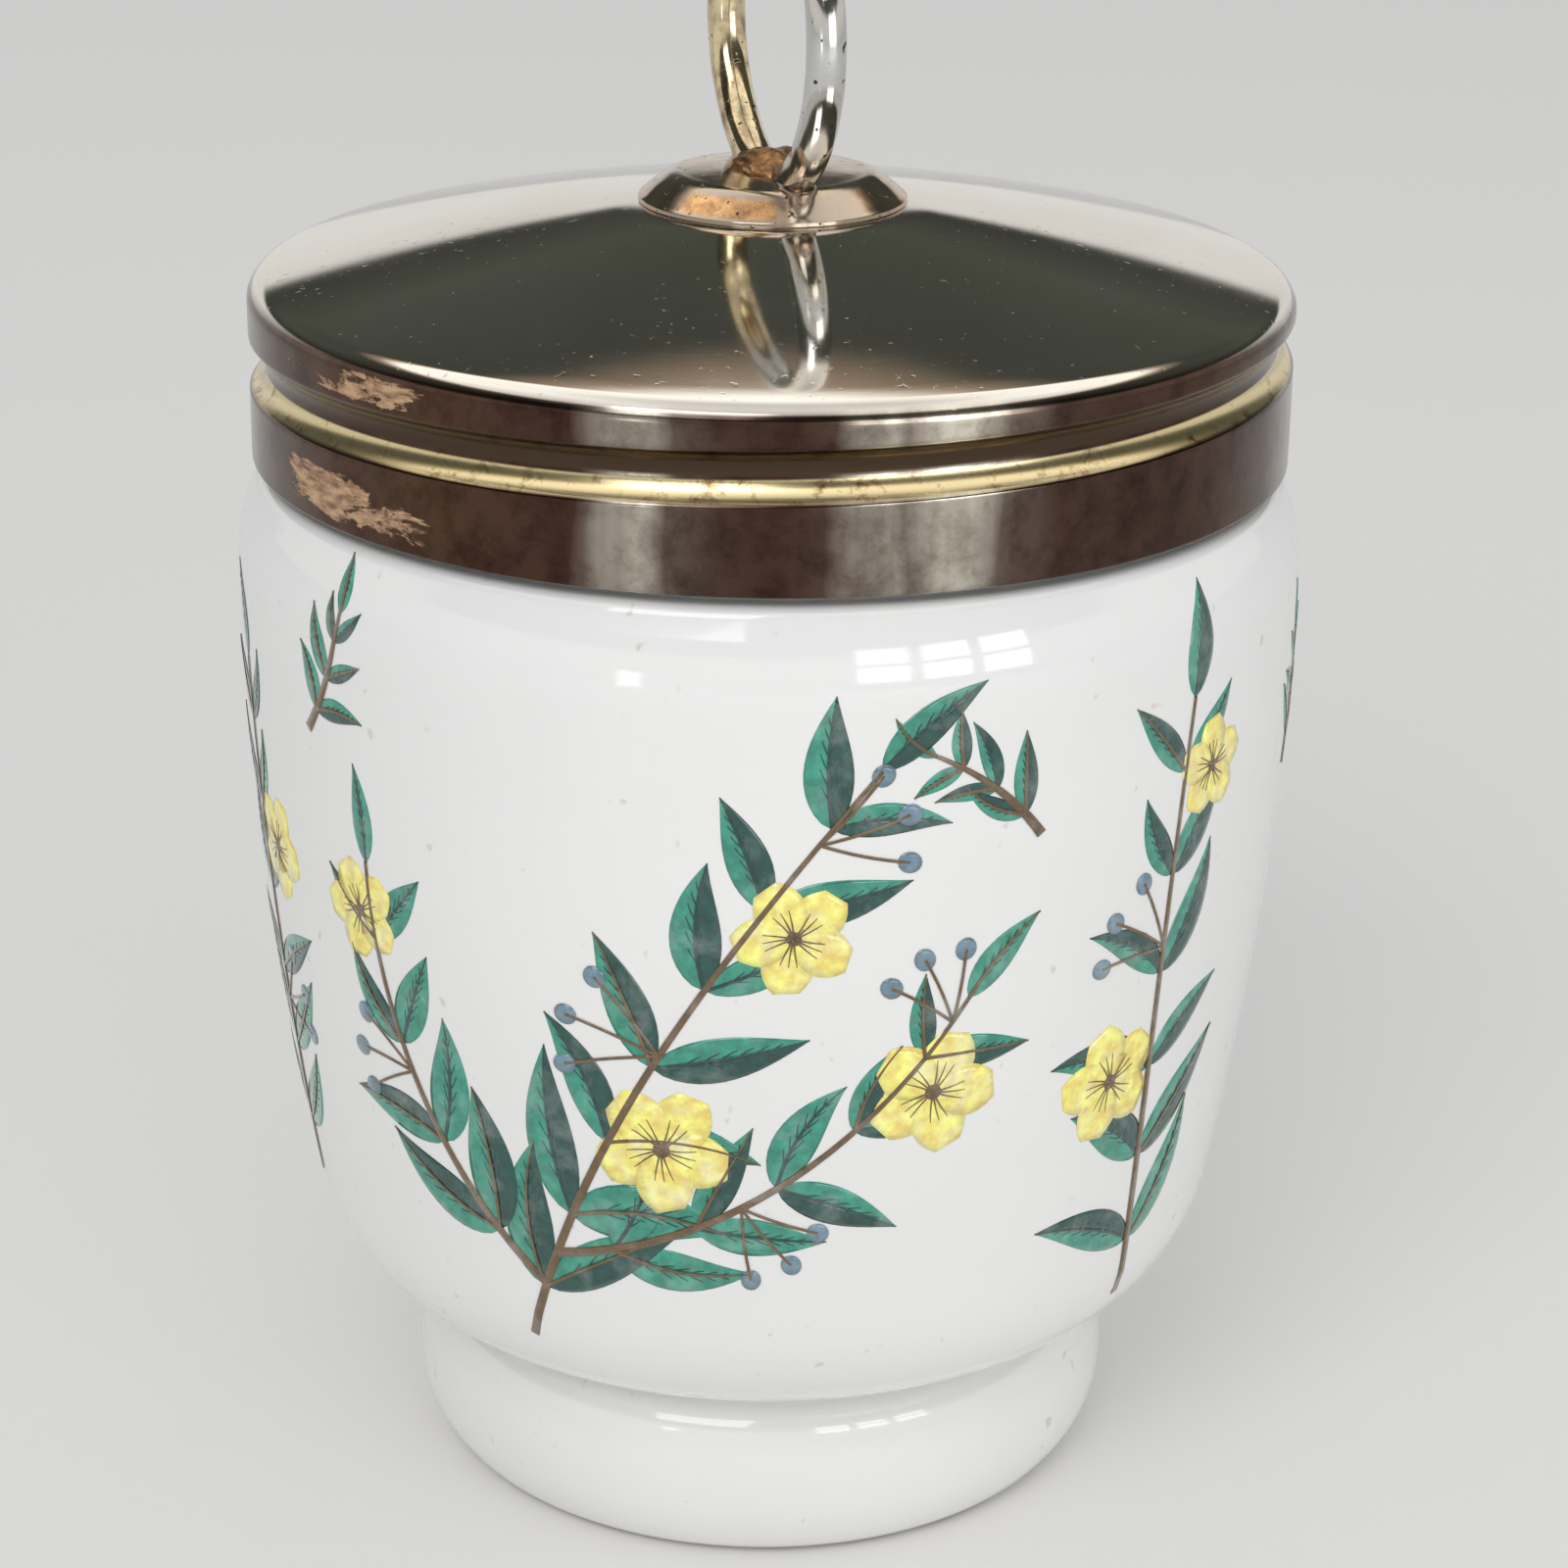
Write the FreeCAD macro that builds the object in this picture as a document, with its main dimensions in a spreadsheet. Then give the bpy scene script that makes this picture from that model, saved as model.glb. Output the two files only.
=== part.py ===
"""Porcelain egg coddler with a screw lid, millimetres, +Z up.

The origin is the centre of the face that the foot ring stands on, and the lifting ring stands in
the YZ plane. A thrown porcelain cup carries a moulded thread bead round its neck. The pressed lid
has one turn of rolled thread: a groove outside that is a ridge inside. A boss is riveted through
the crown over a rove, and a wire ring is brazed into a seat across the boss.
"""
import FreeCAD
import Part
import Sketcher
import os
import re

SIZES = (
    # Lid shell
    ("lid_radius", "27.5", "outside of the skirt"),
    ("metal_gauge", "0.65", "thickness of the pressed lid"),
    ("skirt_foot", "57.6", "height of the skirt's lower edge"),
    ("skirt_edge", "0.22", "rounding of the skirt's cut edge"),
    ("lid_roll", "1.2", "outside radius of the lid's rounded edge"),
    ("skirt_rise", "8.3", "rise from the skirt's foot to the centre of that rounding"),
    ("edge_slope", "14", "slope of the crown at its edge, degrees"),
    ("crown_bend", "170", "radius of the crown's slight curve"),
    ("crown_rise", "4.8", "rise from that centre to the flat the boss sits on"),
    ("seat_margin", "0.25", "flat left round the boss"),
    # Screw thread
    ("thread_pitch", "3.5", "rise in one turn, right-handed"),
    ("lid_turns", "0.96", "turns of rolled thread in the lid"),
    ("front_rise", "5.9", "height of the groove over the skirt's foot, halfway along it"),
    ("front_angle", "-109", "direction of that place round the lid, degrees"),
    ("roll_radius", "1.4", "radius of the wheel that rolled the groove"),
    ("roll_offset", "0.52", "centre of that radius outside the skirt"),
    ("bead_radius", "0.85", "radius of the bead on the neck"),
    ("bead_sink", "0.1", "depth of the bead's centre in the neck"),
    ("bead_turns", "1.2", "turns of bead on the neck"),
    ("bead_rise", "7.3", "height of the bead's upper end over the skirt's foot"),
    # Cup
    ("body_over", "0.98", "how far the body stands out past the skirt"),
    ("belly_bend", "189", "radius of the long side curve"),
    ("turn_level", "17.3", "height where the side turns under"),
    ("turn_radius", "9.24", "radius of the turn under the body"),
    ("waist_in", "1.3", "how far the waist stands in from the foot"),
    ("cup_wall", "3.2", "thickness of the porcelain"),
    ("dish_slope", "8", "slope of the dished floor at its edge, degrees"),
    ("floor_thick", "5", "thickness of the floor over the foot"),
    ("shoulder_bend", "10", "radius of the shoulder curve"),
    ("shoulder_rise", "4.5", "rise of the shoulder curve over the largest radius"),
    ("shoulder_drop", "0.6", "drop from the ledge to the end of that curve"),
    ("ledge_round", "0.8", "rounding from shoulder to ledge"),
    ("ledge_gap", "0.5", "gap from the ledge up to the lid skirt"),
    ("neck_gap", "1.25", "gap from the skirt in to the neck"),
    ("neck_fillet", "0.6", "fillet from ledge to neck"),
    ("rim_gap", "0.3", "gap from the rim up to the crown"),
    ("rim_round", "1", "outside rounding of the rim"),
    ("inner_drop", "4", "height the inside takes to open out under the neck"),
    # Foot
    ("foot_in", "9.28", "how far the foot stands in from the body"),
    ("foot_low", "0.8", "height of the bulge's lower end"),
    ("foot_high", "7.2", "height of the bulge's upper end"),
    ("foot_bulge", "11", "radius of the bulge"),
    ("foot_width", "4", "width of the foot ring"),
    ("foot_edge", "0.8", "rounding of the tread's edges"),
    ("foot_cap", "2.2", "rounding of the foot's upper edge"),
    ("waist_round", "0.4", "fillet between foot and body"),
    ("recess_round", "2", "rounding inside the recess"),
    # Boss, rove and ring
    ("boss_foot", "7.05", "radius of the boss on the crown"),
    ("boss_lip", "0.25", "height of the boss's upright edge"),
    ("boss_rise", "1.3", "height of the boss's sloped side"),
    ("boss_top", "5.7", "radius of the boss at its upper edge"),
    ("boss_dome", "0.25", "rise of the boss's top over that edge"),
    ("shank_radius", "2", "radius of the rivet shank"),
    ("shank_gap", "0.08", "clearance round the shank"),
    ("rove_radius", "5.6", "radius of the rove inside the crown"),
    ("rove_thick", "0.8", "thickness of the rove"),
    ("rove_bevel", "0.25", "bevel round the rove's lower edge"),
    ("peen_radius", "3.1", "radius of the hammered head"),
    ("peen_rise", "0.9", "depth of the hammered head"),
    ("wire_radius", "1.03", "radius of the ring's wire"),
    ("ring_radius", "7.97", "radius of the ring to the middle of its wire"),
    ("ring_seat", "0.05", "height of the ring's lowest place over the crown"),
    ("ring_gap", "0.4", "gap between the wire's two ends"),
    ("seat_gap", "0.02", "clearance of the seat round the wire"),
    ("braze_across", "2.3", "half width of the braze across the ring"),
    ("braze_along", "3.1", "half length of the braze along the ring"),
    ("braze_rise", "1.1", "height of the braze"),
)

WORKED_OUT = (
    ("inner_radius", "=lid_radius - metal_gauge"),
    ("roll_level", "=skirt_foot + skirt_rise"),
    ("crown_seat", "=roll_level + crown_rise"),
    ("seat_radius", "=boss_foot + seat_margin"),
    ("front_level", "=skirt_foot + front_rise"),
    ("bead_high", "=skirt_foot + bead_rise"),
    ("neck_radius", "=inner_radius - neck_gap"),
    ("body_radius", "=lid_radius + body_over"),
    ("foot_side", "=body_radius - foot_in"),
    ("foot_tread", "=foot_side - foot_edge"),
    ("foot_hole", "=foot_side - foot_width"),
    ("waist_radius", "=foot_side - waist_in"),
    ("ledge_level", "=skirt_foot - ledge_gap"),
    ("shoulder_top", "=ledge_level - shoulder_drop"),
    ("body_level", "=shoulder_top - shoulder_rise"),
    ("mouth_radius", "=neck_radius - cup_wall"),
    ("rim_inner", "=cup_wall - rim_round"),
    ("edge_radius", "=lid_radius - lid_roll + lid_roll * sin(edge_slope)"),
    ("edge_level", "=roll_level + lid_roll * cos(edge_slope)"),
    ("crown_over_rim", "=(edge_radius - neck_radius + rim_round) * tan(edge_slope)"),
    ("rim_level", "=edge_level + crown_over_rim - metal_gauge / cos(edge_slope) - rim_gap"),
    ("turn_angle", "=asin((body_level - turn_level) / belly_bend)"),
    ("turn_start", "=body_radius - belly_bend * (1 - cos(turn_angle))"),
    ("turn_across", "=turn_start - turn_radius * cos(turn_angle)"),
    ("turn_up", "=turn_level + turn_radius * sin(turn_angle)"),
    ("inner_turn", "=turn_radius - cup_wall"),
    ("waist_level", "=turn_up - sqrt(turn_radius^2 - (waist_radius - turn_across)^2)"),
    ("shoulder_edge", "=body_radius - shoulder_bend"
     " + sqrt(shoulder_bend^2 - (shoulder_top - body_level)^2)"),
    ("dish_radius", "=turn_across + inner_turn * sin(dish_slope)"),
    ("dish_level", "=turn_up - inner_turn * cos(dish_slope)"),
    ("dish_bend", "=dish_radius / sin(dish_slope)"),
    ("floor_level", "=dish_level - dish_bend * (1 - cos(dish_slope))"),
    ("recess_level", "=floor_level - floor_thick"),
    ("bead_level", "=bead_high - thread_pitch * bead_turns"),
    ("ridge_radius", "=roll_radius + metal_gauge"),
    ("helix_radius", "=lid_radius + roll_offset"),
    ("boss_level", "=crown_seat + boss_lip + boss_rise"),
    ("hole_radius", "=shank_radius + shank_gap"),
    ("rove_level", "=crown_seat - metal_gauge - rove_thick"),
    ("ring_level", "=crown_seat + ring_seat + ring_radius + wire_radius"),
)

doc = FreeCAD.newDocument("egg_coddler")


def fill_sheet():
    """Driving sizes first, then the sizes that follow from them."""
    sheet = doc.addObject("Spreadsheet::Sheet", "Sizes")
    for row, (alias, value, meaning) in enumerate(SIZES, start=1):
        sheet.set(f"A{row}", alias)
        sheet.set(f"B{row}", value)
        sheet.set(f"C{row}", meaning)
        sheet.setAlias(f"B{row}", alias)
    for row, (alias, formula) in enumerate(WORKED_OUT, start=len(SIZES) + 2):
        sheet.set(f"A{row}", alias)
        sheet.set(f"B{row}", formula)
        sheet.setAlias(f"B{row}", alias)
    doc.recompute()
    return sheet


def bound(formula):
    """A formula in the sheet's aliases, as other objects write it. Every alias has two words."""
    return re.sub("[a-z]+(_[a-z]+)+", lambda alias: f"Sizes.{alias.group()}", formula)


def bind(thing, **formulas):
    """Bind properties to the sheet. A double underscore stands for a dot."""
    for key, formula in formulas.items():
        thing.setExpression(key.replace("__", "."), bound(formula))


def worth(thing, formula):
    """The number that a formula gives now."""
    value = thing.evalExpression(bound(formula))
    return float(getattr(value, "Value", value))


def arc_between(start, end, radius):
    """Arc from start to end. A positive radius keeps the centre on the left of the way there."""
    way = end - start
    left = FreeCAD.Vector(-way.y, way.x, 0).normalize()
    reach = max(radius * radius - way.Length * way.Length / 4, 0) ** 0.5
    centre = (start + end) / 2 + left * (reach if radius > 0 else -reach)
    circle = Part.Circle(centre, FreeCAD.Vector(0, 0, 1), abs(radius))
    first, last = (start, end) if radius > 0 else (end, start)
    return Part.ArcOfCircle(circle, circle.parameter(first), circle.parameter(last))


def place_corner(sketch, edge, end, across, up):
    """Fix one corner of an outline by the formulas for its radius and height."""
    for kind, formula, axis in (("DistanceX", across, -2), ("DistanceY", up, -1)):
        if formula == "0":
            sketch.addConstraint(Sketcher.Constraint("PointOnObject", edge, end, axis))
        else:
            value = worth(sketch, formula)
            index = sketch.addConstraint(Sketcher.Constraint(kind, -1, 1, edge, end, value))
            sketch.setExpression(f"Constraints[{index}]", bound(formula))


def turned_body(name, corners):
    """Revolve a closed outline about Z.

    Each corner is (radius, height, bend): two formulas for its place, and the radius of the arc
    to the next corner, None for a straight line. A minus sign bends the arc the other way.
    """
    body = doc.addObject("PartDesign::Body", name)
    plane = next(f for f in body.Origin.OriginFeatures if f.Role == "XZ_Plane")
    sketch = body.newObject("Sketcher::SketchObject", f"{name}_outline")
    sketch.AttachmentSupport = (plane, [""])
    sketch.MapMode = "FlatFace"
    doc.recompute()
    spots = [FreeCAD.Vector(worth(sketch, a), worth(sketch, b), 0) for a, b, _ in corners]
    ends = []
    for number, (across, up, bend) in enumerate(corners):
        start, end = spots[number], spots[(number + 1) % len(spots)]
        if bend is None:
            edge = sketch.addGeometry(Part.LineSegment(start, end))
            ends.append((edge, 1, 2))
            continue
        formula = bend.lstrip("-")
        radius = worth(sketch, formula)
        clockwise = bend.startswith("-")
        edge = sketch.addGeometry(arc_between(start, end, -radius if clockwise else radius))
        ends.append((edge, 2, 1) if clockwise else (edge, 1, 2))
        index = sketch.addConstraint(Sketcher.Constraint("Radius", edge, radius))
        sketch.setExpression(f"Constraints[{index}]", bound(formula))
    for number, (edge, first, last) in enumerate(ends):
        following, begin, _ = ends[(number + 1) % len(ends)]
        sketch.addConstraint(Sketcher.Constraint("Coincident", edge, last, following, begin))
        place_corner(sketch, edge, first, corners[number][0], corners[number][1])
    turning = body.newObject("PartDesign::Revolution", f"{name}_turned")
    turning.Profile = (sketch, [""])
    turning.ReferenceAxis = (sketch, ["V_Axis"])
    turning.Angle = 360
    sketch.Visibility = False
    doc.recompute()
    return body


def joined(name, first, *others):
    """Fuse objects one after the other."""
    whole = first
    for number, other in enumerate(others, start=1):
        last = number == len(others)
        fuse = doc.addObject("Part::Fuse", name if last else f"{name}_step_{number}")
        fuse.Base = whole
        fuse.Tool = other
        whole = fuse
    return whole


def cut(name, base, tool):
    """Take one object away from another."""
    thing = doc.addObject("Part::Cut", name)
    thing.Base = base
    thing.Tool = tool
    return thing


def coil(name, centre, section, turns, start_level, start_angle):
    """A round bar wound about Z at the thread's pitch, with a ball at each end, as one object."""
    path = doc.addObject("Part::Helix", f"{name}_path")
    bind(path, Radius=centre, Pitch="thread_pitch", Height=f"thread_pitch * {turns}")
    round_bar = doc.addObject("Part::Circle", f"{name}_section")
    bind(round_bar, Radius=section, Placement__Base__x=centre)
    round_bar.Placement.Rotation = FreeCAD.Rotation(FreeCAD.Vector(1, 0, 0), 90)
    doc.recompute()
    bar = doc.addObject("Part::Sweep", f"{name}_bar")
    bar.Sections = [round_bar]
    bar.Spine = (path, [f"Edge{number + 1}" for number in range(len(path.Shape.Edges))])
    bar.Solid = True
    bar.Frenet = True
    bar.Placement.Rotation = FreeCAD.Rotation(FreeCAD.Vector(0, 0, 1), 1)
    bind(bar, Placement__Base__z=start_level, Placement__Rotation__Angle=start_angle)
    pieces = [bar]
    for end, turned, risen in (("first", start_angle, start_level),
                               ("last", f"{start_angle} + 360 * {turns}",
                                f"{start_level} + thread_pitch * {turns}")):
        ball = doc.addObject("Part::Sphere", f"{name}_{end}_end")
        bind(ball, Radius=section, Placement__Base__x=f"({centre}) * cos({turned})",
             Placement__Base__y=f"({centre}) * sin({turned})", Placement__Base__z=risen)
        pieces.append(ball)
    return joined(name, *pieces)


def standing_ring(name, wire):
    """A ring standing in the YZ plane over the boss, its gap at the bottom."""
    ring = doc.addObject("Part::Torus", name)
    ring.Placement.Rotation = FreeCAD.Rotation(FreeCAD.Vector(0, 1, 0), 90)
    bind(ring, Radius1="ring_radius", Radius2=wire, Placement__Base__z="ring_level")
    return ring


def make_cup():
    """Cup: dished floor, foot ring, belly, shoulder ledge and neck with its thread bead."""
    turned = turned_body("cup_turned", (
        ("0", "recess_level", None),
        ("foot_hole - recess_round", "recess_level", "-recess_round"),
        ("foot_hole", "recess_level - recess_round", None),
        ("foot_hole", "foot_edge", "foot_edge"),
        ("foot_hole + foot_edge", "0", None),
        ("foot_tread", "0", "foot_edge"),
        ("foot_side", "foot_low", "foot_bulge"),
        ("foot_side", "foot_high", "foot_cap"),
        ("waist_radius", "waist_level - 1.5 * waist_round", "-waist_round"),
        ("waist_radius", "waist_level", "turn_radius"),
        ("turn_start", "turn_level", "belly_bend"),
        ("body_radius", "body_level", "shoulder_bend"),
        ("shoulder_edge", "shoulder_top", "ledge_round"),
        ("shoulder_edge - ledge_round", "ledge_level", None),
        ("neck_radius + neck_fillet", "ledge_level", "-neck_fillet"),
        ("neck_radius", "ledge_level + neck_fillet", None),
        ("neck_radius", "rim_level - rim_round", "rim_round"),
        ("neck_radius - rim_round", "rim_level", "rim_inner"),
        ("mouth_radius", "rim_level - rim_inner", None),
        ("mouth_radius", "ledge_level", "-shoulder_bend"),
        ("body_radius - cup_wall", "body_level - inner_drop", "-(belly_bend - cup_wall)"),
        ("turn_across + inner_turn * cos(turn_angle)",
         "turn_up - inner_turn * sin(turn_angle)", "-inner_turn"),
        ("dish_radius", "dish_level", "-dish_bend"),
        ("0", "floor_level", None),
    ))
    bead = coil("neck_bead", "neck_radius - bead_sink", "bead_radius", "bead_turns", "bead_level",
                "front_angle + 360 * (bead_level - front_level + thread_pitch / 2) / thread_pitch")
    return joined("cup", turned, bead)


def make_lid_shell():
    """Pressed shell. The ridge inside and the groove outside follow the same helix."""
    blank = turned_body("shell_turned", (
        ("hole_radius", "crown_seat - metal_gauge", None),
        ("seat_radius", "crown_seat - metal_gauge", "-(crown_bend - metal_gauge)"),
        ("edge_radius - metal_gauge * sin(edge_slope)",
         "edge_level - metal_gauge * cos(edge_slope)", "-(lid_roll - metal_gauge)"),
        ("inner_radius", "roll_level", None),
        ("inner_radius", "skirt_foot + skirt_edge", "skirt_edge"),
        ("inner_radius + skirt_edge", "skirt_foot", None),
        ("lid_radius - skirt_edge", "skirt_foot", "skirt_edge"),
        ("lid_radius", "skirt_foot + skirt_edge", None),
        ("lid_radius", "roll_level", "lid_roll"),
        ("edge_radius", "edge_level", "crown_bend"),
        ("seat_radius", "crown_seat", None),
        ("hole_radius", "crown_seat", None),
    ))
    start_level = "front_level - thread_pitch * lid_turns / 2"
    start_angle = "front_angle + 180 * lid_turns"
    ridge = coil("ridge_bar", "helix_radius", "ridge_radius", "lid_turns", start_level, start_angle)
    groove = coil("groove_bar", "helix_radius", "roll_radius", "lid_turns", start_level, start_angle)
    core = doc.addObject("Part::Cylinder", "inside_of_lid")
    bind(core, Radius="lid_radius - metal_gauge / 2", Placement__Base__z="skirt_foot",
         Height="roll_level + lid_roll / 4 - skirt_foot")
    ridge_inside = doc.addObject("Part::Common", "ridge_inside")
    ridge_inside.Base = ridge
    ridge_inside.Tool = core
    with_ridge = joined("shell_with_ridge", blank, ridge_inside)
    return cut("lid_shell", with_ridge, groove)


def make_boss_and_braze():
    """Boss with its rivet shank and hammered head, and the braze round the foot of the ring."""
    blank = turned_body("boss_turned", (
        ("0", "rove_level - peen_rise", "peen_radius * 2"),
        ("peen_radius", "rove_level", None),
        ("shank_radius", "rove_level", None),
        ("shank_radius", "crown_seat", None),
        ("boss_foot", "crown_seat", None),
        ("boss_foot", "crown_seat + boss_lip", None),
        ("boss_top", "boss_level", "boss_top^2 / (2 * boss_dome)"),
        ("0", "boss_level + boss_dome", None),
    ))
    seat = standing_ring("ring_seat_tool", "wire_radius + seat_gap")
    boss = cut("ring_boss", blank, seat)
    mound = doc.addObject("Part::Ellipsoid", "braze_mound")
    bind(mound, Radius1="braze_rise", Radius2="braze_across", Radius3="braze_along",
         Placement__Base__z="boss_level + boss_dome")
    braze = cut("braze", cut("braze_over_boss", mound, blank), seat)
    return boss, braze


def make_ring():
    """Wire ring whose two ends nearly meet in the boss."""
    ring = standing_ring("lifting_ring", "wire_radius")
    bind(ring, Angle3="360 - ring_gap / ring_radius * 180 / pi")
    return ring


def make_rove():
    """Washer that the rivet shank is hammered down on."""
    return turned_body("rove", (
        ("hole_radius", "rove_level", None),
        ("rove_radius - rove_bevel", "rove_level", None),
        ("rove_radius", "rove_level + rove_bevel", None),
        ("rove_radius", "rove_level + rove_thick", None),
        ("hole_radius", "rove_level + rove_thick", None),
    ))


def check_and_write(subparts):
    """Stop on any failed object, then write one file for each sub-part."""
    for thing in doc.Objects:
        if "Invalid" in thing.State or "Error" in thing.State:
            raise RuntimeError(f"{thing.Name} failed: {thing.State}")
    for part in subparts:
        if part.Shape.isNull() or not part.Shape.isValid():
            raise RuntimeError(f"{part.Label} has no valid shape")
        if len(part.Shape.Solids) != 1:
            raise RuntimeError(f"{part.Label} isn't one solid")
    os.makedirs("parts", exist_ok=True)
    for part in subparts:
        part.Shape.exportStep(f"parts/{part.Label}.step")
        print(f"{part.Label}: {len(part.Shape.Solids)} solid, {part.Shape.Volume:.1f} mm3")


fill_sheet()
ring_boss, braze = make_boss_and_braze()
parts_list = [make_cup(), make_lid_shell(), ring_boss, make_ring(), braze, make_rove()]
doc.recompute()
check_and_write(parts_list)
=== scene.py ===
"""Looks of the porcelain egg coddler: glazed cup, printed sprays, plated screw lid, wire ring."""
import math
import random

import bmesh
import bpy
from bpy.props import FloatProperty, FloatVectorProperty, IntProperty, PointerProperty
from mathutils import Matrix, Vector, noise


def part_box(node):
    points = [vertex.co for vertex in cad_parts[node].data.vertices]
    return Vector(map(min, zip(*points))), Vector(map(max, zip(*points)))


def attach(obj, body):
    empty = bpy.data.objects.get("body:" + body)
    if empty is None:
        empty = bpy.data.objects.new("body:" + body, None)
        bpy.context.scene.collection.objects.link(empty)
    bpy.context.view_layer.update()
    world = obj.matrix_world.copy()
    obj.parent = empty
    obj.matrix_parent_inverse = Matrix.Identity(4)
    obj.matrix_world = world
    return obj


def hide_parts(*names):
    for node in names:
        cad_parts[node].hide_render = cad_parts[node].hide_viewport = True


bl_info = {
    "name": "Egg Coddler",
    "version": (1, 0, 0),
    "blender": (4, 5, 0),
    "location": "View3D > Sidebar > Coddler",
    "description": "Builds the finished surfaces of an egg coddler round its packed solids",
    "category": "Object",
}

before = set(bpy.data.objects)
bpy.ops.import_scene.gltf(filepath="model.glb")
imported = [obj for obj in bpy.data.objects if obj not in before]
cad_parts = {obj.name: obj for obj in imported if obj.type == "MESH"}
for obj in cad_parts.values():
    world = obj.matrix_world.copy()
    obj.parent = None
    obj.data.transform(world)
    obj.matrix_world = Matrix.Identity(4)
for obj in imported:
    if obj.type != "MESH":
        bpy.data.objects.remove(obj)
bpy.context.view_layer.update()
MM = 0.001
FRONT = math.radians(-109)  # the side of the part that faces the camera
CUP_ROUND, LID_ROUND, BOSS_ROUND = 256, 300, 200  # segments of each turned piece
ARC_STEP, ARC_PIECE = math.radians(6), 0.0012  # an arc's points lie no further apart
NECK_ROW, SKIRT_ROW, COARSE_ROW = 0.1 * MM, 0.11 * MM, 1.5 * MM  # rows of the profiles
SHARP_FROM = math.radians(52)  # a bend over this stays sharp in the shading
WELD = 1e-7  # points nearer than this are one
CROWN_SEAT = 70.7 * MM  # height of the crown under the boss
SHANK_HOLE = 2.08 * MM
PRINT_ROUND = 28.4  # radius in millimetres round which the print is laid out
PRINT_FOOT, RECESS_SIDE = 11 * MM, 15 * MM  # the print lies above the one and outside the other
AHEAD = 0.02  # share of a path by which its direction is taken
INKS = ("leaf", "leaf_dark", "vein", "petal", "berry", "stem")  # from the glaze outwards
GLAZE_COAT = {"IOR": 1.52, "Coat Weight": 0.35, "Coat Roughness": 0.03}
RAMP_REACH = 10.0  # heights up to 0.1 m are brought to the 0 to 1 of a ramp
CROWN_EDGE = (0.6640, 0.6672)  # height times RAMP_REACH over which the tarnish ends

# Degrees round the skirt from the front, and how pale the tarnish is rubbed there.
STREAKS = ((-180, 0.02), (-165, 0.45), (-152, 0.03), (-128, 0.50), (-120, 0.02), (-98, 0.20),
           (-80, 0.14), (-66, 0.04), (-44, 0.02), (-19, 0.0), (-17, 0.40), (-12, 0.62),
           (-10, 0.10), (-5, 0.02), (1, 0.0), (6, 0.04), (8, 0.42), (13, 0.58), (14.5, 0.20),
           (16, 0.62), (18, 1.0), (22, 0.72), (24, 0.16), (30, 0.03), (52, 0.0), (66, 0.04),
           (74, 0.26), (86, 0.05), (124, 0.48), (133, 0.03), (158, 0.34), (180, 0.02))
# Share of the way round, and height times RAMP_REACH, where the plating is rubbed off.
RUB_ROUND = ((0.30, 0.0), (0.330, 0.7), (0.36, 1.0), (0.392, 0.8), (0.412, 0.0))
RUB_BANDS = ((0.578, 0.0), (0.584, 1.0), (0.603, 1.0), (0.613, 0.0), (0.643, 0.0), (0.648, 1.0),
             (0.660, 1.0), (0.666, 0.0))
# Dents in the ring: share of the way round, width as a share, and depth in wire radii.
KNOCKS = ((0.885, 0.012, 0.10), (0.93, 0.01, 0.06))
# What camera and gloss see of the dome: height of the direction, and colour.
DOME = ((0.0, (0.80, 0.79, 0.77)), (0.235, (0.84, 0.82, 0.78)), (0.262, (0.045, 0.045, 0.040)),
        (0.40, (0.085, 0.095, 0.075)), (0.62, (0.060, 0.065, 0.055)), (0.67, (0.40, 0.30, 0.21)),
        (0.71, (1.5, 1.45, 1.34)), (0.90, (1.3, 1.28, 1.23)), (1.0, (0.80, 0.78, 0.74)))


def size(name, default, description):
    """A length that a user may change, in metres."""
    return FloatProperty(name=name, default=default, description=description,
                         unit="LENGTH", subtype="DISTANCE", precision=5)


def colour(name, default, description):
    """A colour that a user may change."""
    return FloatVectorProperty(name=name, default=default, description=description,
                               subtype="COLOR", size=3, min=0, max=1)


class CoddlerCup(bpy.types.PropertyGroup):
    """Sizes and colours of the porcelain cup."""
    body_radius: size("Body radius", 0.02848, "Largest radius of the cup")
    body_level: size("Body level", 0.052, "Height of the largest radius")
    belly_bend: size("Belly bend", 0.189, "Radius of the long side curve")
    turn_level: size("Turn level", 0.0173, "Height where the side turns under")
    turn_radius: size("Turn radius", 0.00924, "Radius of the turn under the body")
    wall: size("Wall", 0.0032, "Thickness of the porcelain")
    neck_radius: size("Neck radius", 0.0256, "Outside of the neck")
    ledge_level: size("Ledge level", 0.0571, "Height of the ledge under the lid")
    rim_level: size("Rim level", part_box("cup")[1].z, "Height of the rim")
    bead_radius: size("Bead radius", 0.00085, "Radius of the thread bead on the neck")
    glaze: colour("Glaze", (0.80, 0.80, 0.79), "Colour of the glazed porcelain")


class CoddlerLid(bpy.types.PropertyGroup):
    """Sizes and colours of the plated lid."""
    radius: size("Lid radius", 0.0275, "Outside of the skirt")
    gauge: size("Gauge", 0.00065, "Thickness of the pressed metal")
    skirt_foot: size("Skirt foot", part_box("lid_shell")[0].z, "Height of the skirt's lower edge")
    pitch: size("Thread pitch", 0.0035, "Rise of the rolled thread in one turn")
    groove_level: size("Groove level", 0.0635, "Height of the groove at the front")
    plating: colour("Plating", (0.74, 0.71, 0.67), "Colour of the plating")
    tarnish: colour("Tarnish", (0.070, 0.036, 0.027), "Colour of the brown tarnish")
    brass: colour("Brass", (0.74, 0.62, 0.36), "Colour where the brass shows through")


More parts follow.
